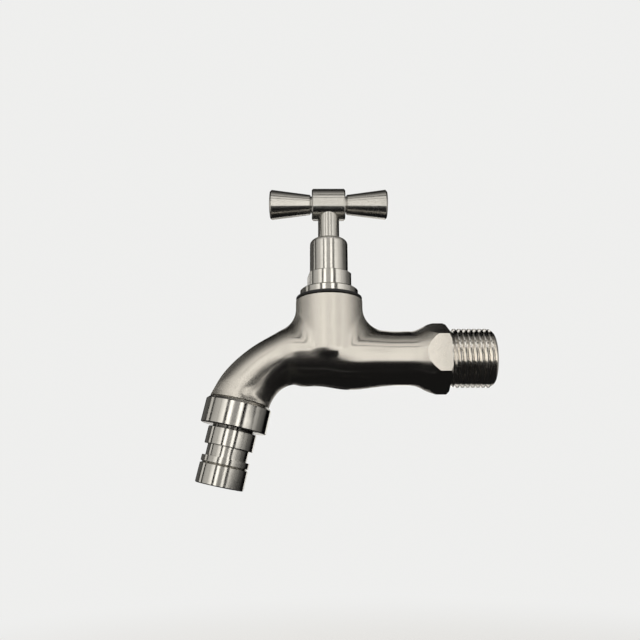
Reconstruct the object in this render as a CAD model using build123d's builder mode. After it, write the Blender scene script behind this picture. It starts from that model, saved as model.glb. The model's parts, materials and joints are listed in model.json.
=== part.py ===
from build123d import *
from math import cos, radians, sin, tan
import os

# Wall-mounted screw-down tap with a T handle. Lengths in mm, angles in degrees.
# The inlet thread points along +X, the valve stem along +Z. The origin is the centre of the inlet shoulder.

# Inlet: pipe thread, hexagonal shoulder and round tube
thread_d = 20.955
thread_pitch = 25.4 / 14
thread_depth = 1.162
thread_length = 16.0
thread_flank = 27.5
thread_root_flat = 0.2
thread_run_in = 2.0
thread_relief = 0.9
thread_relief_depth = 0.1
thread_end_chamfer = 1.1
hex_across_flats = 22.4
hex_corner_chamfer = 0.9
flare_length = 13.1
flare_mid_d = 23.0
flare_mid_share = 0.59
flare_full_share = 0.31
inlet_d = 19.4
inlet_bore_d = 14.0
inlet_mouth_step = 0.4
inlet_mouth_length = 29.0

# Casting: belly under the valve, neck, spout
stem_offset = 41.6
belly_d = 22.1
belly_x = 5.5
belly_length = 15.0
neck_d = 24.2
neck_top = 21.5
neck_rim_chamfer = 0.6
neck_root = 2.0
neck_dome = 8.0
neck_fillet = 8.5
run_arch = 0.4
spout_root_d = 21.7
spout_d = 18.3
spout_end_d = 20.9
spout_bend_x = -12.1
spout_bend_z = 0.48
spout_drop = 11.2
spout_bend_r = 25.8
outlet_tilt = 12.0
waist_share = 0.45
narrow_power = 2.7
widen_power = 1.3

# Waterway through the casting
seat_top = 9.8
seat_lip = 0.8
seat_lip_wall = 1.3
orifice_d = 10.0
chamber_step = 0.7
inlet_end_x = -5.3
throat_start = (-7.8, 13.2)
throat_start_angle = 80
throat_middle = (-9.3, 8.3)
throat_middle_angle = 68
throat_end = (-12.6, 3.0)
throat_end_angle = 50
throat_width = 10.0
throat_height = 3.2
throat_end_height = 6.0
spout_bore_d = 13.2

# Clearances, edges and overlaps
screw_gap = 0.05
stem_gap = 0.06
face_gap = 0.1
slip_gap = 0.05
blind_room = 0.3
end_room = 1.0
edge_break = 0.3
thread_lead = 0.4
overlap = 1.0

# Bonnet and its gasket
gasket_inset = 0.1
gasket_thickness = 0.9
gasket_edge = 0.25
neck_wall = 2.1
bonnet_thread_length = 7.0
flange_rim = 0.6
flange_thickness = 2.9
flange_chamfer = 0.45
waist_d = 17.2
waist_height = 6.0
waist_land = 0.4
wrench_flats = 15.1
wrench_turn = 8.0
cap_d = 14.1
cap_height = 13.55
cap_edge = 1.8
recess_room = 0.7
recess_height = 4.8

# Spindle with its seals
stem_d = 8.0
lift = 4.0
lift_thread_d = 10.0
lift_thread_length = 9.0
nose_d = 9.2
thrust_thickness = 0.4
ring_section = 1.08
ring_groove_d = 5.9
ring_groove_room = 0.3
ring_spacing = 2.8
ring_start = 5.6

# Valve disc carried in the spindle's foot
disc_d = 12.4
disc_thickness = 2.0
disc_stem_d = 5.0
disc_stem_length = 15.5
washer_thickness = 2.8
screw_d = 3.0
screw_head_d = 5.8
screw_head_height = 1.8
screw_head_crown = 0.5
screw_length = 4.5
slot_width = 0.8
clip_thickness = 0.5
clip_d = 5.9
clip_opening = 1.6
clip_groove_depth = 0.5
clip_recess_d = 6.2
clip_height = 11.7

# T handle
handle_height = 59.7
hub_d = 12.1
hub_length = 12.6
hub_chamfer = 0.45
stem_over_stud = 0.4
stud_d = 5.0
stud_length = 34.0
grip_shoulder_d = 6.4
grip_shoulder = 0.5
grip_small_d = 7.6
grip_large_d = 11.4
grip_length = 15.75
grip_crown = 0.4
grip_edge = 0.6

# Outlet nozzle, measured down from the foot of the spout
collar_d = 22.9
collar_length = 9.6
collar_chamfer = 1.2
collar_overlap = 4.48
stub_d = 18.0
stub_length = 6.2
nozzle_bore_d = 11.2
collar_floor = 1.6
relief_d = 14.2
relief_length = 0.8
barrel_d = 16.8
barrel_length = 5.9
barrel_edge = 0.2
neck_ring_d = 14.3
neck_ring_length = 3.8
bead_d = 16.5
bead_length = 1.9
groove_depth = 0.75
groove_length = 0.8
tip_d = 16.6
tip_length = 6.6
tip_chamfer = 0.3

# Outlet washer and strainer
seal_d = 17.6
seal_thickness = 1.2
seal_bore_d = 11.8
strainer_bore_d = 10.6
strainer_d = 13.6
strainer_thickness = 0.2
strainer_rim_thickness = 0.3
strainer_hole_d = 0.95
strainer_pitch = 1.5
strainer_rows = 7

os.makedirs("parts", exist_ok=True)

stem_x = -stem_offset
valve = Plane(origin=(stem_x, 0, 0), x_dir=(1, 0, 0), z_dir=(0, -1, 0))
valve_axis = Axis((stem_x, 0, 0), (0, 0, 1))
handle = Plane(origin=(stem_x, 0, handle_height), x_dir=(1, 0, 0), z_dir=(0, -1, 0))
handle_axis = Axis((stem_x, 0, handle_height), (1, 0, 0))


def station(x, z, angle):
    """The plane across the waterway at a point of its centre line that runs down to -X at this angle."""
    along = (-cos(radians(angle)), 0, -sin(radians(angle)))
    return Plane(origin=(stem_x + x, 0, z), x_dir=(0, 1, 0), z_dir=along)


def bend(share):
    """Centre and angle of the spout at this share of its bend, from 0 at the start to 1 at the outlet."""
    angle = spout_drop + (90 - outlet_tilt - spout_drop) * share
    x = spout_bend_x + spout_bend_r * (sin(radians(spout_drop)) - sin(radians(angle)))
    z = spout_bend_z - spout_bend_r * (cos(radians(spout_drop)) - cos(radians(angle)))
    return x, z, angle


# The nozzle's frame: across the outlet and down along it, from the foot of the spout
outlet_down = Vector(-sin(radians(outlet_tilt)), 0, -cos(radians(outlet_tilt)))
bend_end = Vector(stem_x + bend(1)[0], 0, bend(1)[1])
spout_foot = bend_end - outlet_down * collar_overlap
outlet = Plane(
    origin=spout_foot,
    x_dir=(-cos(radians(outlet_tilt)), 0, sin(radians(outlet_tilt))),
    z_dir=(0, -1, 0),
)
outlet_axis = Axis(spout_foot, outlet_down)

# Inlet shoulder: a flare from the round tube into a hexagon, with its pipe thread
hex_corner_r = hex_across_flats / 2 / cos(radians(30))
thread_root_r = thread_d / 2 - thread_depth
shoulder_r = hex_corner_r + face_gap
groove_height = thread_depth + edge_break
groove_half = thread_root_flat / 2 + groove_height * tan(radians(thread_flank))
with BuildPart() as shoulder:
    with BuildSketch(Plane.XZ):
        with BuildLine():
            flare = Spline(
                (-flare_length, inlet_d / 2),
                (-flare_length * flare_mid_share, flare_mid_d / 2),
                (-flare_length * flare_full_share, shoulder_r),
                tangents=[(1, 0), (1, 0.4)],
            )
            Polyline(
                flare @ 1,
                (-hex_corner_chamfer, shoulder_r),
                (0, shoulder_r - hex_corner_chamfer),
                (0, 0),
                (-flare_length, 0),
                flare @ 0,
            )
        make_face()
    revolve(axis=Axis.X)
    with BuildSketch(Plane.YZ.offset(-flare_length)):
        Circle(2 * shoulder_r)
        RegularPolygon(hex_corner_r, 6, rotation=90, mode=Mode.SUBTRACT)
    extrude(amount=flare_length, mode=Mode.SUBTRACT)

with BuildPart() as thread_groove:
    with BuildLine() as groove_path:
        Helix(
            thread_pitch,
            thread_run_in + thread_length + 2 * thread_pitch,
            thread_root_r,
            center=(-thread_run_in, 0, 0),
            direction=(1, 0, 0),
        )
    groove_start = groove_path.line @ 0
    groove_out = Vector(0, groove_start.Y, groove_start.Z).normalized()
    with BuildSketch(Plane(origin=groove_start, x_dir=groove_out, z_dir=groove_path.line % 0)):
        Polygon(
            (0, -thread_root_flat / 2),
            (groove_height, -groove_half),
            (groove_height, groove_half),
            (0, thread_root_flat / 2),
            align=None,
        )
    sweep(path=groove_path.line, is_frenet=True)

with BuildPart() as pipe_thread:
    with BuildSketch(Plane.YZ.offset(-overlap)):
        Circle(thread_d / 2)
    extrude(amount=overlap + thread_length)
    add(thread_groove.part, mode=Mode.SUBTRACT)
    # relief at the shoulder and chamfer at the end
    thread_out_r = thread_d / 2 + edge_break
    relief_r = thread_root_r - thread_relief_depth
    with BuildSketch(Plane.XZ):
        Polygon(
            (-2 * overlap, relief_r),
            (thread_relief, relief_r),
            (thread_relief + thread_out_r - relief_r, thread_out_r),
            (-2 * overlap, thread_out_r),
            align=None,
        )
        Polygon(
            (thread_length - thread_end_chamfer - edge_break, thread_out_r),
            (thread_length + edge_break, thread_d / 2 - thread_end_chamfer - edge_break),
            (thread_length + edge_break, thread_out_r),
            align=None,
        )
    revolve(axis=Axis.X, mode=Mode.SUBTRACT)

# Outer skin of the run and the spout: circles from the inlet tube over the belly and round the bend
tube_sections = [(stem_offset - flare_length, 0, 0, inlet_d)]
belly_end = belly_x + belly_length
for share in (0.6, 0.2):
    x = belly_end + share * (stem_offset - flare_length - belly_end)
    tube_sections.append((x, 0, 0, inlet_d))
for share in (0.5, 0):
    swell = (belly_d - inlet_d) * cos(radians(90 * share))
    tube_sections.append((belly_x + belly_length * share, 0, 0, inlet_d + swell))
spout_turn = 90 - outlet_tilt - spout_drop
foot_share = 1 - collar_overlap / (spout_bend_r * radians(spout_turn))
skin_shift = collar_overlap**2 / (2 * spout_bend_r)
skin_start_z = spout_bend_z + skin_shift
for share in (0.4, 0.7):
    x = belly_x + (spout_bend_x - belly_x) * share
    z = skin_start_z * sin(radians(90 * share)) + run_arch * sin(radians(180 * share))
    tube_sections.append((x, z, spout_drop * share**2, belly_d + (spout_root_d - belly_d) * share))
bend_steps = 6
for step in range(bend_steps):
    share = step / bend_steps
    x, z, angle = bend(share * foot_share)
    x -= skin_shift * sin(radians(angle))
    z += skin_shift * cos(radians(angle))
    if share < waist_share:
        swell = (spout_root_d - spout_d) * (1 - share / waist_share) ** narrow_power
    else:
        swell = (spout_end_d - spout_d) * ((share - waist_share) / (1 - waist_share)) ** widen_power
    tube_sections.append((x, z, spout_drop + spout_turn * share, spout_d + swell))
tube_sections.append((spout_foot.X - stem_x, spout_foot.Z, 90 - outlet_tilt, spout_end_d))
with BuildPart() as run_and_spout:
    for x, z, angle, diameter in tube_sections:
        with BuildSketch(station(x, z, angle)):
            Circle(diameter / 2)
    loft()

with BuildPart() as neck:
    with BuildSketch(valve):
        with BuildLine():
            dome = EllipticalCenterArc((0, neck_root), neck_d / 2, neck_dome, start_angle=-90, arc_size=90)
            Polyline(
                dome @ 1,
                (neck_d / 2, neck_top - neck_rim_chamfer),
                (neck_d / 2 - neck_rim_chamfer, neck_top),
                (0, neck_top),
                dome @ 0,
            )
        make_face()
    revolve(axis=valve_axis)

with BuildPart() as spout_stub:
    with BuildSketch(outlet):
        Polygon(
            (0, -2 * overlap),
            (stub_d / 2 - screw_gap, -2 * overlap),
            (stub_d / 2 - screw_gap, stub_length - thread_lead),
            (stub_d / 2 - screw_gap - thread_lead, stub_length),
            (0, stub_length),
            align=None,
        )
    revolve(axis=outlet_axis)

# Waterway: from the seat chamber down a flat throat, then round the bend
bore_shares = (0.3, 0.5, 0.7, 0.85, 1.0)
with BuildPart() as spout_waterway:
    for point, angle, height in (
        (throat_start, throat_start_angle, throat_height),
        (throat_middle, throat_middle_angle, throat_height),
        (throat_end, throat_end_angle, throat_end_height),
    ):
        with BuildSketch(station(*point, angle)):
            Ellipse(throat_width / 2, height / 2)
    for share in bore_shares:
        with BuildSketch(station(*bend(share))):
            Circle(spout_bore_d / 2)
    loft()

bonnet_thread_d = neck_d - 2 * neck_wall
chamber_d = bonnet_thread_d - 2 * chamber_step
thread_floor = neck_top - bonnet_thread_length - blind_room
with BuildPart() as tap_body:
    add(run_and_spout.part)
    add(neck.part)
    fillet(new_edges(run_and_spout.part, neck.part, combined=tap_body.part), neck_fillet)
    add(shoulder.part)
    add(pipe_thread.part)
    add(spout_stub.part)
    # inlet bore, up to just past the seat, a little wider at its mouth
    with BuildSketch(Plane.YZ.offset(stem_x + inlet_end_x)):
        Circle(inlet_bore_d / 2)
    extrude(amount=stem_offset - inlet_end_x + thread_length + overlap, mode=Mode.SUBTRACT)
    with BuildSketch(Plane.YZ.offset(thread_length - inlet_mouth_length)):
        Circle(inlet_bore_d / 2 + inlet_mouth_step)
    extrude(amount=inlet_mouth_length + overlap, mode=Mode.SUBTRACT)
    # chamber with its raised seat, and the bore for the bonnet's thread
    with BuildSketch(valve):
        Polygon(
            (orifice_d / 2 + seat_lip_wall, seat_top),
            (orifice_d / 2 + seat_lip_wall, seat_top - seat_lip),
            (chamber_d / 2, seat_top - seat_lip),
            (chamber_d / 2, thread_floor),
            (bonnet_thread_d / 2, thread_floor),
            (bonnet_thread_d / 2, neck_top - thread_lead),
            (bonnet_thread_d / 2 + thread_lead, neck_top),
            (0, neck_top),
            (0, 0),
            (orifice_d / 2, 0),
            (orifice_d / 2, seat_top),
            align=None,
        )
    revolve(axis=valve_axis, mode=Mode.SUBTRACT)
    add(spout_waterway.part, mode=Mode.SUBTRACT)
    with BuildSketch(outlet):
        Polygon(
            (0, collar_overlap - overlap),
            (spout_bore_d / 2, collar_overlap - overlap),
            (spout_bore_d / 2, stub_length + overlap),
            (0, stub_length + overlap),
            align=None,
        )
    revolve(axis=outlet_axis, mode=Mode.SUBTRACT)

# Bonnet gasket and bonnet
gasket_top = neck_top + gasket_thickness
with BuildPart() as bonnet_gasket:
    with BuildSketch(Plane(origin=(stem_x, 0, neck_top))):
        Circle(neck_d / 2 - gasket_inset)
        Circle(bonnet_thread_d / 2 + screw_gap, mode=Mode.SUBTRACT)
    extrude(amount=gasket_thickness)
    fillet(bonnet_gasket.edges().filter_by(GeomType.CIRCLE).sort_by(SortBy.LENGTH)[-2:], gasket_edge)

bonnet_foot = neck_top - bonnet_thread_length
flange_top = gasket_top + flange_thickness
waist_top = flange_top + waist_height
cap_top = waist_top + cap_height
recess_top = bonnet_foot + recess_height
disc_top = seat_top + washer_thickness + disc_thickness
thread_foot = recess_top + end_room
thread_top = thread_foot + lift_thread_length
guide_foot = thread_top + thrust_thickness + lift
shank_r = bonnet_thread_d / 2 - screw_gap
flange_r = bonnet_thread_d / 2 + flange_rim
recess_r = disc_d / 2 + recess_room
with BuildPart() as bonnet:
    with BuildSketch(valve):
        Polygon(
            (recess_r, bonnet_foot),
            (shank_r - thread_lead, bonnet_foot),
            (shank_r, bonnet_foot + thread_lead),
            (shank_r, gasket_top),
            (flange_r - flange_chamfer, gasket_top),
            (flange_r, gasket_top + flange_chamfer),
            (flange_r, flange_top - flange_chamfer),
            (flange_r - flange_chamfer, flange_top),
            (waist_d / 2, flange_top),
            (waist_d / 2, waist_top - edge_break),
            (waist_d / 2 - edge_break, waist_top),
            (cap_d / 2, waist_top),
            (cap_d / 2, cap_top),
            (stem_d / 2 + stem_gap + edge_break, cap_top),
            (stem_d / 2 + stem_gap, cap_top - edge_break),
            (stem_d / 2 + stem_gap, guide_foot),
            (lift_thread_d / 2 + screw_gap, guide_foot),
            (lift_thread_d / 2 + screw_gap, recess_top),
            (recess_r, recess_top),
            align=None,
        )
    revolve(axis=valve_axis)
    fillet(bonnet.edges().group_by(Axis.Z)[-1].sort_by(SortBy.LENGTH)[-1], cap_edge)
    # two wrench flats on the waist
    with BuildSketch(Plane(origin=(stem_x, 0, flange_top + waist_land)).rotated((0, 0, wrench_turn))):
        with Locations((wrench_flats / 2 + waist_d / 2, 0), (-wrench_flats / 2 - waist_d / 2, 0)):
            Rectangle(waist_d, 2 * waist_d)
    extrude(amount=waist_height - waist_land, mode=Mode.SUBTRACT)

# Spindle: nose, lift thread, stem with two seal grooves, crossed by the handle's stud
spindle_foot = disc_top + face_gap
ring_heights = [guide_foot + ring_start - lift, guide_foot + ring_start - lift + ring_spacing]
spindle_top = handle_height + stud_d / 2 + slip_gap + stem_over_stud
disc_bore_r = disc_stem_d / 2 + slip_gap
disc_bore_top = disc_top + disc_stem_length + end_room
clip_foot = disc_top + clip_height
with BuildPart() as spindle:
    with BuildSketch(valve):
        Polygon(
            (disc_bore_r, spindle_foot),
            (nose_d / 2 - edge_break, spindle_foot),
            (nose_d / 2, spindle_foot + edge_break),
            (nose_d / 2, thread_foot),
            (lift_thread_d / 2, thread_foot + thread_lead),
            (lift_thread_d / 2, thread_top - thread_lead),
            (lift_thread_d / 2 - thread_lead, thread_top),
            (stem_d / 2, thread_top),
            (stem_d / 2, spindle_top - edge_break),
            (stem_d / 2 - edge_break, spindle_top),
            (0, spindle_top),
            (0, disc_bore_top),
            (disc_bore_r, disc_bore_top),
            align=None,
        )
    revolve(axis=valve_axis)
    with BuildSketch(valve):
        for height in ring_heights:
            with Locations((stem_d / 2, height)):
                Rectangle(stem_d - ring_groove_d, ring_section + ring_groove_room)
        with Locations((disc_bore_r, clip_foot + clip_thickness / 2)):
            Rectangle(clip_recess_d - 2 * disc_bore_r, clip_thickness + 2 * face_gap)
    revolve(axis=valve_axis, mode=Mode.SUBTRACT)
    with BuildSketch(Plane.YZ.offset(stem_x - stem_d)):
        with Locations((0, handle_height)):
            Circle(stud_d / 2 + slip_gap)
    extrude(amount=2 * stem_d, mode=Mode.SUBTRACT)

with BuildPart() as thrust_washer:
    with BuildSketch(Plane(origin=(stem_x, 0, thread_top))):
        Circle(lift_thread_d / 2 - slip_gap)
        Circle(stem_d / 2 + slip_gap, mode=Mode.SUBTRACT)
    extrude(amount=thrust_thickness)


def seal_ring(height):
    """A rubber ring as it lies squeezed in its groove, centred at this height."""
    with BuildPart() as ring:
        with BuildSketch(valve):
            with Locations((ring_groove_d / 2 + ring_section / 2, height)):
                Circle(ring_section / 2)
        revolve(axis=valve_axis)
    return ring


# Valve disc, its rubber washer and screw, and the clip that keeps it in the spindle
screw_foot = seat_top
with BuildPart() as jumper:
    with BuildSketch(valve):
        Polygon(
            (screw_d / 2 + slip_gap, seat_top + washer_thickness),
            (disc_d / 2, seat_top + washer_thickness),
            (disc_d / 2, disc_top - edge_break),
            (disc_d / 2 - edge_break, disc_top),
            (disc_stem_d / 2, disc_top),
            (disc_stem_d / 2, disc_top + disc_stem_length),
            (0, disc_top + disc_stem_length),
            (0, screw_foot + screw_length + blind_room),
            (screw_d / 2 + slip_gap, screw_foot + screw_length + blind_room),
            align=None,
        )
    revolve(axis=valve_axis)
    with BuildSketch(valve):
        with Locations((disc_stem_d / 2, clip_foot + clip_thickness / 2)):
            Rectangle(2 * clip_groove_depth, clip_thickness + face_gap)
    revolve(axis=valve_axis, mode=Mode.SUBTRACT)

with BuildPart() as jumper_clip:
    with BuildSketch(Plane(origin=(stem_x, 0, clip_foot))):
        Circle(clip_d / 2)
        Circle(disc_stem_d / 2 - clip_groove_depth + slip_gap, mode=Mode.SUBTRACT)
        with Locations((clip_d / 2, 0)):
            Rectangle(clip_d, clip_opening, mode=Mode.SUBTRACT)
    extrude(amount=clip_thickness)

with BuildPart() as seat_washer:
    with BuildSketch(Plane(origin=(stem_x, 0, seat_top))):
        Circle(disc_d / 2 - face_gap)
        Circle(screw_d / 2 + slip_gap, mode=Mode.SUBTRACT)
    extrude(amount=washer_thickness)

with BuildPart() as washer_screw:
    with BuildSketch(valve):
        Polygon(
            (0, screw_foot - screw_head_height),
            (screw_head_d / 2 - screw_head_crown, screw_foot - screw_head_height),
            (screw_head_d / 2, screw_foot - screw_head_height + screw_head_crown),
            (screw_head_d / 2, screw_foot),
            (screw_d / 2, screw_foot),
            (screw_d / 2, screw_foot + screw_length),
            (0, screw_foot + screw_length),
            align=None,
        )
    revolve(axis=valve_axis)
    with BuildSketch(Plane(origin=(stem_x, 0, screw_foot - screw_head_height))):
        Rectangle(2 * screw_head_d, slot_width)
    extrude(amount=slot_width, mode=Mode.SUBTRACT)

# T handle: hub over the stem, a stud across both, and a grip screwed on each end
with BuildPart() as handle_hub:
    with BuildSketch(Plane.YZ.offset(stem_x - hub_length / 2)):
        with Locations((0, handle_height)):
            Circle(hub_d / 2)
    extrude(amount=hub_length)
    chamfer(handle_hub.edges().filter_by(GeomType.CIRCLE), hub_chamfer)
    with BuildSketch(Plane.YZ.offset(stem_x - hub_length)):
        with Locations((0, handle_height)):
            Circle(stud_d / 2 + slip_gap)
    extrude(amount=2 * hub_length, mode=Mode.SUBTRACT)
    with BuildSketch(Plane(origin=(stem_x, 0, handle_height - hub_d))):
        Circle(stem_d / 2 + slip_gap)
    extrude(amount=spindle_top + blind_room - (handle_height - hub_d), mode=Mode.SUBTRACT)

with BuildPart() as cross_stud:
    with BuildSketch(Plane.YZ.offset(stem_x - stud_length / 2)):
        with Locations((0, handle_height)):
            Circle(stud_d / 2)
    extrude(amount=stud_length)
    chamfer(cross_stud.edges().filter_by(GeomType.CIRCLE), thread_lead)


def grip(side):
    """A tapered grip on the stud, to +X for side 1 and to -X for side -1."""
    plane = Plane(origin=handle.origin, x_dir=(side, 0, 0), z_dir=(0, -side, 0))
    inner = hub_length / 2
    cone = inner + grip_shoulder
    outer = cone + grip_length
    bore_r = stud_d / 2 + slip_gap
    bore_end = stud_length / 2 + blind_room
    grip_end_r = grip_large_d / 2 - grip_edge
    with BuildPart() as piece:
        with BuildSketch(plane):
            with BuildLine():
                tip = ThreePointArc(
                    (outer, 0),
                    (outer - grip_crown / 4, grip_end_r / 2),
                    (outer - grip_crown, grip_end_r),
                )
                Polyline(
                    tip @ 0,
                    (bore_end, 0),
                    (bore_end, bore_r),
                    (inner, bore_r),
                    (inner, grip_shoulder_d / 2),
                    (cone, grip_shoulder_d / 2),
                    (cone, grip_small_d / 2 - edge_break),
                    (cone + edge_break, grip_small_d / 2),
                    (outer - grip_crown - grip_edge, grip_large_d / 2),
                    tip @ 1,
                )
            make_face()
        revolve(axis=handle_axis)
    return piece


# Outlet nozzle, screwed on the stub of the spout
relief_top = collar_length
barrel_top = relief_top + relief_length
barrel_foot = barrel_top + barrel_length
bead_top = barrel_foot + neck_ring_length
bead_foot = bead_top + bead_length
tip_top = bead_foot + groove_length
tip_foot = tip_top + tip_length
floor_top = collar_length - collar_floor
with BuildPart() as outlet_nozzle:
    with BuildSketch(outlet):
        Polygon(
            (stub_d / 2, 2 * face_gap),
            (collar_d / 2 - collar_chamfer, 2 * face_gap),
            (collar_d / 2, 2 * face_gap + collar_chamfer),
            (collar_d / 2, collar_length - edge_break),
            (collar_d / 2 - edge_break, collar_length),
            (relief_d / 2, relief_top),
            (relief_d / 2, barrel_top),
            (barrel_d / 2 - barrel_edge, barrel_top),
            (barrel_d / 2, barrel_top + barrel_edge),
            (barrel_d / 2, barrel_foot - barrel_edge),
            (barrel_d / 2 - barrel_edge, barrel_foot),
            (neck_ring_d / 2, barrel_foot),
            (neck_ring_d / 2, bead_top),
            (bead_d / 2, bead_top),
            (bead_d / 2, bead_foot),
            (bead_d / 2 - groove_depth, bead_foot + groove_length / 2),
            (tip_d / 2, tip_top),
            (tip_d / 2, tip_foot - tip_chamfer),
            (tip_d / 2 - tip_chamfer, tip_foot),
            (nozzle_bore_d / 2 + edge_break, tip_foot),
            (nozzle_bore_d / 2, tip_foot - edge_break),
            (nozzle_bore_d / 2, floor_top),
            (stub_d / 2, floor_top),
            align=None,
        )
    revolve(axis=outlet_axis)

rim_top = floor_top - strainer_rim_thickness
mesh_top = rim_top - strainer_thickness
seal_top = mesh_top - seal_thickness
down = Plane(origin=spout_foot, x_dir=(0, 1, 0), z_dir=outlet_down)
with BuildPart() as outlet_washer:
    with BuildSketch(down.offset(seal_top)):
        Circle(seal_d / 2)
        Circle(seal_bore_d / 2, mode=Mode.SUBTRACT)
    extrude(amount=seal_thickness)

with BuildPart() as strainer_mesh:
    with BuildSketch(down.offset(mesh_top)):
        Circle(strainer_d / 2)
        with HexLocations(strainer_pitch / 2, strainer_rows, strainer_rows, major_radius=False):
            Circle(strainer_hole_d / 2, mode=Mode.SUBTRACT)
    extrude(amount=strainer_thickness)

with BuildPart() as strainer_rim:
    with BuildSketch(down.offset(rim_top)):
        Circle(seal_d / 2)
        Circle(strainer_bore_d / 2, mode=Mode.SUBTRACT)
    extrude(amount=strainer_rim_thickness)

pieces = {
    "tap_body": tap_body,
    "bonnet_gasket": bonnet_gasket,
    "bonnet": bonnet,
    "spindle": spindle,
    "thrust_washer": thrust_washer,
    "o_ring_lower": seal_ring(ring_heights[0]),
    "o_ring_upper": seal_ring(ring_heights[1]),
    "jumper": jumper,
    "jumper_clip": jumper_clip,
    "seat_washer": seat_washer,
    "washer_screw": washer_screw,
    "handle_hub": handle_hub,
    "cross_stud": cross_stud,
    "grip_left": grip(-1),
    "grip_right": grip(1),
    "outlet_nozzle": outlet_nozzle,
    "outlet_washer": outlet_washer,
    "strainer_mesh": strainer_mesh,
    "strainer_rim": strainer_rim,
}
for name, piece in pieces.items():
    piece.part.label = name
    export_step(piece.part, f"parts/{name}.step")
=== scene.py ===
import json
import math

import bpy
from mathutils import Matrix, Vector

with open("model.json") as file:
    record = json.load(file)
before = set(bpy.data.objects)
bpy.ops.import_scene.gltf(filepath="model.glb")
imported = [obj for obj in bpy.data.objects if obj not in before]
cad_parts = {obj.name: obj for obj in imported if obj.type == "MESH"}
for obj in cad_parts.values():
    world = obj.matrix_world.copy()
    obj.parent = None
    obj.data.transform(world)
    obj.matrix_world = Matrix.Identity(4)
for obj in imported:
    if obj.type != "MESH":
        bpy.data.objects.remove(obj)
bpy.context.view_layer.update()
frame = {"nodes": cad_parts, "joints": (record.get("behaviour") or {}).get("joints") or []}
nodes = frame["nodes"]
joints = {joint["name"]: joint for joint in frame["joints"]}

# Axes of the turned parts, in metres in the part's frame
UP = Vector((0, 0, 1))
ALONG = Vector((1, 0, 0))
INLET = Vector((0, 0, 0))
STEM = Vector(joints["handle_turn"]["pos_m"])
HANDLE_HEIGHT = 0.0597
HANDLE = STEM + HANDLE_HEIGHT * UP
SPOUT_FOOT = Vector(joints["nozzle_turn"]["pos_m"])
DOWN_SPOUT = Vector(joints["nozzle_turn"]["axis"])

# Colours
CAST_STEEL = (0.64, 0.61, 0.56, 1)
TURNED_STEEL = (0.61, 0.595, 0.56, 1)
THREAD_STEEL = (0.84, 0.815, 0.775, 1)
# Painted shade for the groove under the nozzle's collar
GROOVE_PAINTED_SHADE = (0.17, 0.165, 0.155, 1)
BRASS = (0.72, 0.52, 0.24, 1)
BLACK_RUBBER = (0.012, 0.012, 0.013, 1)
PALE_PLASTIC = (0.78, 0.77, 0.72, 1)
FLOOR = (0.80, 0.80, 0.79, 1)
BACKGROUND = (0.86, 0.86, 0.85, 1)
WHITE = (1, 1, 1, 1)
WARM_WHITE = (1, 0.975, 0.925, 1)
LAMP_WHITE = (1, 0.97, 0.93)

# Depth of each finish's relief, in metres, and the share of the fine grain in it
LATHE_DEPTH = 0.000001
CAST_DEPTH = 0.000008
SCRATCH_SHARE = 0.02
SAND_DEPTH = 0.000012
SAND_SHARE = 0.5
MOULD_DEPTH = 0.00002

# Most values of a noise lie in this spread round its mean
NOISE_SPREAD = (0.3, 0.7)
NOISE_MEAN = 0.5

# Share of the coarse lines among the lathe lines
COARSE_SHARE = 0.4
# Share of a second direction in a tangent, for the faces on which the first one vanishes
SPARE_SHARE = 0.02
# Painted shade in the groove below the nozzle's collar, where the collar shades it: its two ends along the
# nozzle's axis, and how soft they are
NOZZLE_SHADED_GROOVE = (0.00965, 0.0104)
SHADED_GROOVE_SOFT = 0.0001
# Scratches of the casting: grains a metre along each axis, and the heights over which they turn upright
LEVEL_GRAIN = (90, 1500, 1500)
UPRIGHT_GRAIN = (1500, 1500, 90)
NECK_FOOT = (0.003, 0.010)
# Roughness of the sandy flats, at their lowest and highest grain
SAND_ROUGHNESS = (0.26, 0.36)


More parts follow.
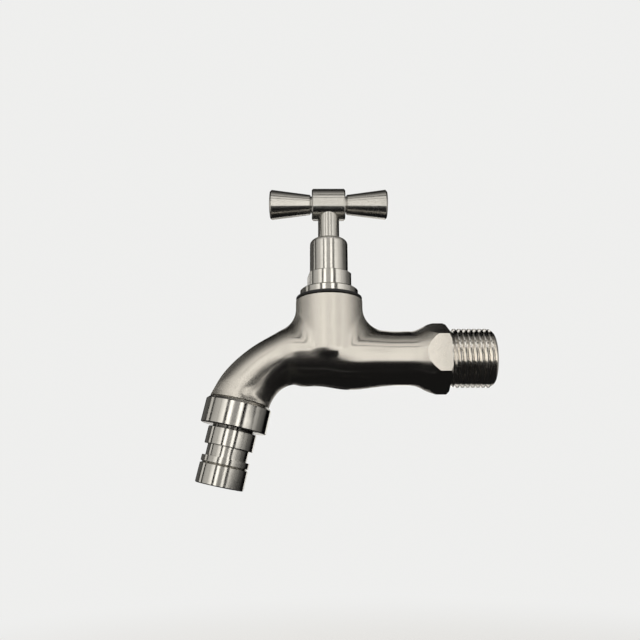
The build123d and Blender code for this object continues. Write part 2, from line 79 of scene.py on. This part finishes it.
class Tree:
    """A short way to write a node tree: one call makes a node, sets its values and links its inputs."""

    def __init__(self, tree):
        self.tree = tree
        tree.nodes.clear()

    def node(self, kind, inputs=None, **settings):
        made = self.tree.nodes.new(kind)
        for name, value in settings.items():
            setattr(made, name, value)
        for name, value in (inputs or {}).items():
            if isinstance(value, bpy.types.NodeSocket):
                self.tree.links.new(value, made.inputs[name])
            else:
                made.inputs[name].default_value = value
        return made

    def place(self):
        """The shaded point, in metres in the part's frame."""
        return self.node("ShaderNodeTexCoord").outputs["Object"]

    def camera_ray(self):
        return self.node("ShaderNodeLightPath").outputs["Is Camera Ray"]

    def split(self, vector):
        return self.node("ShaderNodeSeparateXYZ", {0: vector}).outputs

    def math(self, operation, first, second=0.0):
        return self.node("ShaderNodeMath", {0: first, 1: second}, operation=operation).outputs[0]

    def plus(self, first, second):
        return self.math("ADD", first, second)

    def minus(self, first, second):
        return self.math("SUBTRACT", first, second)

    def times(self, first, *others):
        product = first
        for other in others:
            product = self.math("MULTIPLY", product, other)
        return product

    def degrees(self, angle):
        return self.times(angle, 180 / math.pi)

    def vector(self, operation, first, second):
        return self.node("ShaderNodeVectorMath", {0: first, 1: second}, operation=operation).outputs[0]

    def scaled(self, vector, scale):
        inputs = {0: vector, "Scale": scale}
        return self.node("ShaderNodeVectorMath", inputs, operation="SCALE").outputs[0]

    def length(self, vector):
        return self.node("ShaderNodeVectorMath", {0: vector}, operation="LENGTH").outputs["Value"]

    def ramp(self, factor, low, high, out_low=0.0, out_high=1.0, kind="SMOOTHSTEP"):
        inputs = {"Value": factor, "From Min": low, "From Max": high, "To Min": out_low, "To Max": out_high}
        return self.node("ShaderNodeMapRange", inputs, interpolation_type=kind).outputs[0]

    def within(self, value, start, end, soft):
        """1 between start and end and 0 outside, with soft ends."""
        rising = self.ramp(value, start - soft, start + soft)
        falling = self.ramp(value, end - soft, end + soft, 1.0, 0.0)
        return self.times(rising, falling)

    def noise(self, vector, scale, detail, roughness):
        inputs = {"Vector": vector, "Scale": scale, "Detail": detail, "Roughness": roughness}
        return self.node("ShaderNodeTexNoise", inputs).outputs["Fac"]

    def blend(self, factor, first, second):
        """Between two numbers, which a Mix node takes at its sockets 2 and 3."""
        return self.node("ShaderNodeMix", {0: factor, 2: first, 3: second}, data_type="FLOAT").outputs[0]

    def mix(self, factor, first, second):
        """Between two colours, which a Mix node takes at its sockets 6 and 7."""
        return self.node("ShaderNodeMix", {0: factor, 6: first, 7: second}, data_type="RGBA").outputs[2]


def new_material(name):
    material = bpy.data.materials.new(name)
    material.use_nodes = True
    return material, Tree(material.node_tree)


def axis_frame(tree, origin, axis):
    """Height along an axis, distance from it and the unit vector away from it, for the shaded point."""
    shifted = tree.vector("SUBTRACT", tree.place(), origin)
    product = tree.node("ShaderNodeVectorMath", {0: shifted, 1: axis}, operation="DOT_PRODUCT")
    height = product.outputs["Value"]
    away = tree.vector("SUBTRACT", shifted, tree.scaled(axis, height))
    unit = tree.node("ShaderNodeVectorMath", {0: away}, operation="NORMALIZE").outputs[0]
    return height, tree.length(away), unit


def uneven_tint(tree, pattern, spread, colour, dark_share):
    """The colour where the pattern is high in its spread, and a share of it where it is low."""
    dark = tuple(dark_share * channel for channel in colour[:3]) + (1,)
    return tree.mix(tree.ramp(pattern, *spread), dark, colour)


def uneven_roughness(tree, patch, lines, base, below, above, line_share):
    """Roughness that wanders round its base with large patches, and a little with fine lines."""
    wander = tree.ramp(patch, *NOISE_SPREAD, base - below, base + above)
    return tree.plus(wander, tree.times(tree.minus(lines, NOISE_MEAN), line_share))


def finish_surface(tree, colour, roughness, relief, depth, metallic=1.0, **sockets):
    bump = tree.node("ShaderNodeBump", {"Height": relief, "Distance": depth, "Strength": 1.0})
    inputs = {"Base Color": colour, "Metallic": metallic, "Roughness": roughness}
    inputs["Normal"] = bump.outputs[0]
    inputs.update(sockets)
    shader = tree.node("ShaderNodeBsdfPrincipled", inputs)
    tree.node("ShaderNodeOutputMaterial", {"Surface": shader.outputs[0]})


def turned_metal(name, origin, axis, colour=TURNED_STEEL, roughness=0.21, anisotropy=0.98, shaded_groove=None):
    """Metal with fine lathe lines round an axis and slightly uneven gloss, with painted shade in its
    groove.
    """
    material, tree = new_material(name)
    height, radius, away = axis_frame(tree, origin, axis)
    rings = tree.node("ShaderNodeCombineXYZ", {0: radius, 1: 0.0, 2: height}).outputs[0]
    fine = tree.noise(rings, scale=9000.0, detail=2.0, roughness=0.6)
    coarse = tree.noise(rings, scale=2200.0, detail=3.0, roughness=0.6)
    lines = tree.blend(COARSE_SHARE, fine, coarse)
    patch = tree.noise(tree.place(), scale=160.0, detail=3.0, roughness=0.55)
    tint = uneven_tint(tree, lines, spread=(0.35, 0.65), colour=colour, dark_share=0.94)
    if shaded_groove:
        # Painted shade: the groove under the collar is darkened in colour
        tint = tree.mix(tree.within(height, *shaded_groove, SHADED_GROOVE_SOFT), tint, GROOVE_PAINTED_SHADE)
    gloss = uneven_roughness(tree, patch, lines, base=roughness, below=0.03, above=0.04, line_share=0.12)
    # Light spreads across the lathe lines: along the axis on a side, outwards on an end face
    across = tree.vector("ADD", axis, tree.scaled(away, SPARE_SHARE))
    finish_surface(tree, tint, gloss, lines, LATHE_DEPTH, Anisotropic=anisotropy, Tangent=across)
    return material


def scratches(tree, grain):
    """A noise with its own number of grains a metre along each axis."""
    stretched = tree.node("ShaderNodeMapping", {"Vector": tree.place(), "Scale": grain}).outputs[0]
    return tree.noise(stretched, scale=1.0, detail=3.0, roughness=0.6)


def cast_metal(name):
    """Brushed casting: satin along level lines, with scratches that turn upright on the neck."""
    material, tree = new_material(name)
    place = tree.place()
    wave = tree.noise(place, scale=60.0, detail=1.0, roughness=0.4)
    patch = tree.noise(place, scale=240.0, detail=4.0, roughness=0.6)
    neck_share = tree.ramp(tree.split(place)[2], *NECK_FOOT)
    grain = tree.blend(neck_share, scratches(tree, LEVEL_GRAIN), scratches(tree, UPRIGHT_GRAIN))
    tint = uneven_tint(tree, patch, spread=(0.3, 0.75), colour=CAST_STEEL, dark_share=0.97)
    gloss = uneven_roughness(tree, patch, grain, base=0.25, below=0.01, above=0.015, line_share=0.04)
    relief = tree.plus(tree.times(grain, SCRATCH_SHARE), wave)
    normal = tree.node("ShaderNodeNewGeometry").outputs["Normal"]
    level = tree.vector("ADD", tree.vector("CROSS_PRODUCT", UP, normal), SPARE_SHARE * ALONG)
    finish_surface(tree, tint, gloss, relief, CAST_DEPTH, Anisotropic=0.97, Tangent=level)
    return material


def sand_metal(name):
    """The hexagon's front and back flats as they leave the mould: an even, fine sandy grain."""
    material, tree = new_material(name)
    place = tree.place()
    sand = tree.noise(place, scale=3200.0, detail=3.0, roughness=0.65)
    patch = tree.noise(place, scale=420.0, detail=3.0, roughness=0.55)
    tint = uneven_tint(tree, patch, spread=(0.3, 0.75), colour=CAST_STEEL, dark_share=0.93)
    gloss = tree.ramp(sand, *NOISE_SPREAD, *SAND_ROUGHNESS)
    relief = tree.plus(tree.times(sand, SAND_SHARE), patch)
    finish_surface(tree, tint, gloss, relief, SAND_DEPTH)
    return material


def soft_solid(name, colour, roughness, grain_scale):
    """Rubber or plastic with a fine moulded grain."""
    material, tree = new_material(name)
    grain = tree.noise(tree.place(), scale=grain_scale, detail=4.0, roughness=0.6)
    tint = uneven_tint(tree, grain, spread=NOISE_SPREAD, colour=colour, dark_share=0.8)
    gloss = tree.ramp(grain, low=0.25, high=0.75, out_low=roughness - 0.06, out_high=roughness + 0.08)
    finish_surface(tree, tint, gloss, grain, MOULD_DEPTH, metallic=0.0)
    return material


body_metal = cast_metal("brushed_casting")
flat_metal = sand_metal("sandy_flats")
thread_metal = turned_metal("cut_thread", INLET, ALONG, THREAD_STEEL, roughness=0.13, anisotropy=0.6)
stem_metal = turned_metal("turned_on_stem", STEM, UP)
handle_metal = turned_metal("turned_on_bar", HANDLE, ALONG, roughness=0.23)
nozzle_metal = turned_metal("turned_nozzle", SPOUT_FOOT, DOWN_SPOUT, shaded_groove=NOZZLE_SHADED_GROOVE)
brass_metal = turned_metal("turned_brass", STEM, UP, BRASS, roughness=0.22)
steel_sheet = turned_metal("strainer_steel", SPOUT_FOOT, DOWN_SPOUT, roughness=0.25)
rubber = soft_solid("black_rubber", BLACK_RUBBER, roughness=0.55, grain_scale=1500.0)
plastic = soft_solid("pale_plastic", PALE_PLASTIC, roughness=0.45, grain_scale=900.0)

finishes = {
    "tap_body": body_metal,
    "bonnet_gasket": rubber,
    "bonnet": stem_metal,
    "spindle": stem_metal,
    "thrust_washer": plastic,
    "o_ring_lower": rubber,
    "o_ring_upper": rubber,
    "jumper": brass_metal,
    "jumper_clip": stem_metal,
    "seat_washer": rubber,
    "washer_screw": brass_metal,
    "handle_hub": handle_metal,
    "cross_stud": handle_metal,
    "grip_left": handle_metal,
    "grip_right": handle_metal,
    "outlet_nozzle": nozzle_metal,
    "outlet_washer": rubber,
    "strainer_mesh": steel_sheet,
    "strainer_rim": steel_sheet,
}
for name, finish in finishes.items():
    mesh = nodes[name].data
    mesh.materials.clear()
    mesh.materials.append(finish)
    for face in mesh.polygons:
        face.material_index = 0

# The casting's other finishes: the pipe thread with the shoulder's end face, and the hexagon's
# front and back flats, which are the faces there that point almost straight forwards or back
SHOULDER_FACE = -0.00005
FLATS_START = -0.0082
FLAT_FACING = 0.999
FLAT_LEAN = 0.003
body_mesh = nodes["tap_body"].data
body_mesh.materials.append(thread_metal)
body_mesh.materials.append(flat_metal)
for face in body_mesh.polygons:
    on_flat = abs(face.normal.y) > FLAT_FACING and abs(face.normal.z) < FLAT_LEAN
    if face.center.x > SHOULDER_FACE:
        face.material_index = 1
    elif face.center.x > FLATS_START and on_flat:
        face.material_index = 2


def between(ends, share):
    return ends[0] + (ends[1] - ends[0]) * share


def new_mesh(name, points, faces, material, smooth=False):
    mesh = bpy.data.meshes.new(name)
    mesh.from_pydata(points, [], faces)
    mesh.materials.append(material)
    for face in mesh.polygons:
        face.use_smooth = smooth
    made = bpy.data.objects.new(name, mesh)
    bpy.context.scene.collection.objects.link(made)
    return made


def level_sheet(name, x_ends, y_ends, level, material):
    corners = [(x, y, level) for y in y_ends for x in x_ends]
    return new_mesh(name, corners, [(0, 1, 3, 2)], material)


def glow_material(name, colour, glow):
    """A material that only shines, as strongly as the glow function says."""
    material, tree = new_material(name)
    shine = tree.node("ShaderNodeEmission", {"Color": colour, "Strength": glow(tree)})
    tree.node("ShaderNodeOutputMaterial", {"Surface": shine.outputs[0]})
    return material


def lights_only(piece):
    """The piece shows only in reflections. The camera doesn't see it, nor does the floor."""
    piece.visible_camera = False
    piece.visible_diffuse = False
    piece.visible_shadow = False


# Floor, which fades into the background between two distances from the origin
FLOOR_LEVEL = -0.16
FLOOR_ENDS = (-3.0, 3.0)
FLOOR_FADE = (0.18, 0.55)


def floor_paper(name):
    material, tree = new_material(name)
    paper = tree.node("ShaderNodeBsdfDiffuse", {"Color": FLOOR})
    haze = tree.node("ShaderNodeEmission", {"Color": BACKGROUND, "Strength": 1.0})
    far = tree.times(tree.camera_ray(), tree.ramp(tree.length(tree.place()), *FLOOR_FADE))
    surface = tree.node("ShaderNodeMixShader", {0: far, 1: paper.outputs[0], 2: haze.outputs[0]})
    tree.node("ShaderNodeOutputMaterial", {"Surface": surface.outputs[0]})
    return material


floor_piece = level_sheet("floor", FLOOR_ENDS, FLOOR_ENDS, FLOOR_LEVEL, floor_paper("floor_paper"))

# Light tent round the tap: a dome, open below, that shines inwards. Its angles are in degrees
TENT_HEIGHT = 0.010
TENT_CENTRE = STEM + TENT_HEIGHT * UP
TENT_RADIUS = 0.30
TENT_STEPS = 64
TENT_RISE = (-32, 88)
TENT_TURN = (-180, 180)
# Upright panels from the left over the front at 0 to the right: where each starts and ends, and how
# strongly it shines there
UPRIGHT_PANELS = (
    (-176, -160, 0.9, 0.9),
    (-140, -106, 0.15, 0.10),
    (-102, -90, 0.9, 0.9),
    (-82, -56, 0.55, 0.75),
    (-56, -36, 0.75, 1.9),
    (-26, -14, 2.4, 2.4),
    (-14, 5, 0.5, 0.5),
    (7, 19, 2.4, 2.4),
    (32, 60, 1.55, 0.95),
    (60, 90, 0.85, 0.4),
    (90, 125, 0.3, 0.06),
    (160, 176, 0.9, 0.9),
)
PANEL_SOFT = 1.0
# The uprights dim high up, and low down on the right they gain some strength
UPRIGHTS_FADE = (38, 48)
UPRIGHTS_TOP_SHARE = 0.1
GAIN_RIGHT = (28, 40)
GAIN_BELOW = (4, 12)
GAIN_SHARE = 0.6
# A wide sheet over the uprights, by the angle round the inlet's axis from the front over the top
SHEET_PANELS = (
    (20, 47, 1.35, 1.05),
    (47, 66, 1.05, 0.6),
    (66, 82, 0.6, 0.18),
    (82, 100, 0.18, 0.12),
)
SHEET_ABOVE = (24, 32)
SHEET_SIDES = (100, 130)
# Two dark seams in the sheet, each with its middle, half width and depth, weaker on the left
SEAMS = ((36.0, 2.6, 0.95), (57.0, 3.4, 0.98))
SEAM_SOFT = 0.8
SEAM_LEFT = (-40, -10)
SEAM_LEFT_SHARE = 0.2
SEAM_RIGHT = (55, 80)
SEAM_ABOVE = (26, 38)
# The tent's lower edge climbs on the right and falls again beside the tap
EDGE_LOW = -24.0
EDGE_CLIMB = 8.0
EDGE_SOFT = 1.5
EDGE_RISE = (8, 45)
EDGE_FALL = (60, 90)


def panel(tree, value, start, end, start_strength, end_strength):
    """A panel's glow between start and end, shaded from one strength to the other, and 0 outside."""
    shade = tree.ramp(value, start, end, start_strength, end_strength, kind="LINEAR")
    return tree.times(shade, tree.within(value, start, end, PANEL_SOFT))


def brightest(tree, value, panels):
    glow = 0.0
    for settings in panels:
        glow = tree.math("MAXIMUM", glow, panel(tree, value, *settings))
    return glow


def uprights_glow(tree, azimuth, elevation):
    fade = tree.ramp(elevation, *UPRIGHTS_FADE, 1.0, UPRIGHTS_TOP_SHARE)
    gain = tree.times(tree.ramp(azimuth, *GAIN_RIGHT), tree.ramp(elevation, *GAIN_BELOW, GAIN_SHARE, 0.0))
    return tree.times(brightest(tree, azimuth, UPRIGHT_PANELS), fade, tree.plus(gain, 1.0))


def seams_shade(tree, azimuth, elevation, profile):
    """Share of the light that the seams leave."""
    left = tree.ramp(azimuth, *SEAM_LEFT, SEAM_LEFT_SHARE, 1.0)
    right = tree.ramp(azimuth, *SEAM_RIGHT, 1.0, 0.0)
    share = tree.times(left, right, tree.ramp(elevation, *SEAM_ABOVE))
    shade = 1.0
    for centre, half_width, depth in SEAMS:
        seam = tree.within(profile, centre - half_width, centre + half_width, SEAM_SOFT)
        shade = tree.times(shade, tree.minus(1.0, tree.times(seam, depth, share)))
    return shade


def above_edge(tree, azimuth, elevation):
    rise = tree.ramp(azimuth, *EDGE_RISE, kind="LINEAR")
    fall = tree.ramp(azimuth, *EDGE_FALL, 1.0, 0.0)
    edge = tree.plus(tree.times(rise, fall, EDGE_CLIMB), EDGE_LOW)
    return tree.ramp(tree.minus(elevation, edge), -EDGE_SOFT, EDGE_SOFT)


def tent_glow(tree):
    x, y, z = tree.split(tree.vector("SUBTRACT", tree.place(), TENT_CENTRE))
    forwards = tree.times(y, -1.0)
    azimuth = tree.degrees(tree.math("ARCTAN2", x, forwards))
    elevation = tree.degrees(tree.math("ARCSINE", tree.math("DIVIDE", z, TENT_RADIUS)))
    profile = tree.degrees(tree.math("ARCTAN2", z, forwards))
    near_front = tree.ramp(tree.math("ABSOLUTE", azimuth), *SHEET_SIDES, 1.0, 0.0)
    sheet_share = tree.times(tree.ramp(elevation, *SHEET_ABOVE), near_front)
    uprights = uprights_glow(tree, azimuth, elevation)
    glow = tree.blend(sheet_share, uprights, brightest(tree, profile, SHEET_PANELS))
    inside = tree.node("ShaderNodeNewGeometry").outputs["Backfacing"]
    seams = seams_shade(tree, azimuth, elevation, profile)
    return tree.times(glow, seams, above_edge(tree, azimuth, elevation), inside)


def tent_shape():
    """Points and faces of the dome, row by row from its lower edge."""
    points = []
    for row in range(TENT_STEPS + 1):
        rise = math.radians(between(TENT_RISE, row / TENT_STEPS))
        for column in range(TENT_STEPS + 1):
            turn = math.radians(between(TENT_TURN, column / TENT_STEPS))
            level = math.cos(rise)
            outwards = Vector((level * math.sin(turn), -level * math.cos(turn), math.sin(rise)))
            points.append(TENT_CENTRE + TENT_RADIUS * outwards)
    faces = []
    row_length = TENT_STEPS + 1
    for row in range(TENT_STEPS):
        for column in range(TENT_STEPS):
            first = row * row_length + column
            faces.append((first, first + 1, first + row_length + 1, first + row_length))
    return points, faces


tent_material = glow_material("tent_glow", WARM_WHITE, tent_glow)
lights_only(new_mesh("light_tent", *tent_shape(), tent_material, smooth=True))

# Dark tray below the tap, brighter at its front edge, with a faint slot in it
TRAY_LEVEL = -0.075
TRAY_X = (-0.25, 0.25)
TRAY_Y = (-0.177, 0.20)
TRAY_FADE = (TRAY_Y[0], -0.08)
TRAY_GLOW = (0.09, 0.012)
SLOT_X = (-0.062, -0.030)
SLOT_Y = (-0.0515, -0.0485)
SLOT_END_SOFT = 0.004
SLOT_SIDE_SOFT = 0.0005
SLOT_GLOW = 0.16


def tray_glow(tree):
    x, y = tree.split(tree.place())[:2]
    slot = tree.times(tree.within(x, *SLOT_X, SLOT_END_SOFT), tree.within(y, *SLOT_Y, SLOT_SIDE_SOFT))
    return tree.plus(tree.times(slot, SLOT_GLOW), tree.ramp(y, *TRAY_FADE, *TRAY_GLOW))


tray_material = glow_material("dark_tray", WHITE, tray_glow)
lights_only(level_sheet("dark_tray", TRAY_X, TRAY_Y, TRAY_LEVEL, tray_material))

# Dark card close in front of the belly, which gives the dark arch there. Its foot and its top slope
# down to the right, and the top has two humps: middle, half width and height
CARD_Y = -0.026
CARD_X = (-0.068, -0.010)
CARD_FOOT = (-0.0085, -0.0310)
CARD_TOP = (-0.0085, -0.0128)
CARD_HUMPS = ((-0.0580, 0.0070, 0.0045), (-0.0470, 0.0125, 0.0118))
CARD_STEPS = 60
CARD_FADE = (-0.015, 0.0)
CARD_GLOW = (0.01, 0.02)


def card_glow(tree):
    return tree.ramp(tree.split(tree.place())[2], *CARD_FADE, *CARD_GLOW)


def card_shape():
    """Points and faces of the card, with a foot and a top point at each step to the right."""
    points = []
    for step in range(CARD_STEPS + 1):
        share = step / CARD_STEPS
        x = between(CARD_X, share)
        top = between(CARD_TOP, share)
        for middle, half_width, hump_height in CARD_HUMPS:
            top += hump_height * math.exp(-(((x - middle) / half_width) ** 2))
        points.append((x, CARD_Y, between(CARD_FOOT, share)))
        points.append((x, CARD_Y, top))
    faces = [(2 * step, 2 * step + 2, 2 * step + 3, 2 * step + 1) for step in range(CARD_STEPS)]
    return points, faces


card_material = glow_material("dark_card", WHITE, card_glow)
lights_only(new_mesh("dark_card", *card_shape(), card_material))

# World: pale to the camera, and for the light it gives dim at the sides and brighter overhead
DOME_HEIGHT = (0.45, 0.95)
DOME_GLOW = (0.06, 0.16)
world = bpy.data.worlds.new("studio")
world.use_nodes = True
bpy.context.scene.world = world
tree = Tree(world.node_tree)
direction = tree.node("ShaderNodeTexCoord").outputs["Generated"]
dome = tree.ramp(tree.split(direction)[2], *DOME_HEIGHT, *DOME_GLOW)
strength = tree.blend(tree.camera_ray(), dome, 1.0)
sky = tree.node("ShaderNodeBackground", {"Color": BACKGROUND, "Strength": strength})
tree.node("ShaderNodeOutputWorld", {"Surface": sky.outputs[0]})


def area_light(name, place, target, side, power):
    """A square lamp that the metal doesn't mirror."""
    data = bpy.data.lights.new(name, "AREA")
    data.size = side
    data.energy = power
    data.color = LAMP_WHITE
    made = bpy.data.objects.new(name, data)
    made.location = place
    made.rotation_euler = (Vector(target) - Vector(place)).to_track_quat("-Z", "Y").to_euler()
    made.visible_glossy = False
    bpy.context.scene.collection.objects.link(made)


area_light("floor_light", place=(0.0, 0.35, 0.8), target=(0, 0.1, FLOOR_LEVEL), side=0.9, power=8.0)
area_light("front_light", place=(-0.35, -0.70, 0.55), target=(-0.04, 0, 0), side=0.7, power=5.0)

# Camera, from a pinhole fit to the photograph's outlines, with angles in radians
CAMERA_PLACE = Vector((-0.045796, -0.214279, -0.043899))
CAMERA_YAW = 0.004
CAMERA_PITCH = 0.265
CAMERA_ROLL = -0.003
CAMERA_LENS = 34.50
CAMERA_SENSOR = 36.0
CAMERA_REACH = (0.01, 20.0)
ahead = Vector((math.sin(CAMERA_YAW), math.cos(CAMERA_YAW), 0))
look = math.cos(CAMERA_PITCH) * ahead + math.sin(CAMERA_PITCH) * UP
level_right = look.cross(UP).normalized()
level_up = level_right.cross(look)
right = math.cos(CAMERA_ROLL) * level_right + math.sin(CAMERA_ROLL) * level_up
up = math.cos(CAMERA_ROLL) * level_up - math.sin(CAMERA_ROLL) * level_right
camera_data = bpy.data.cameras.new("camera")
camera_data.sensor_width = CAMERA_SENSOR
camera_data.lens = CAMERA_LENS
camera_data.clip_start, camera_data.clip_end = CAMERA_REACH
camera = bpy.data.objects.new("camera", camera_data)
camera.matrix_world = Matrix.Translation(CAMERA_PLACE) @ Matrix((right, up, -look)).transposed().to_4x4()
bpy.context.scene.collection.objects.link(camera)
bpy.context.scene.camera = camera
bpy.context.scene.view_settings.view_transform = "Standard"
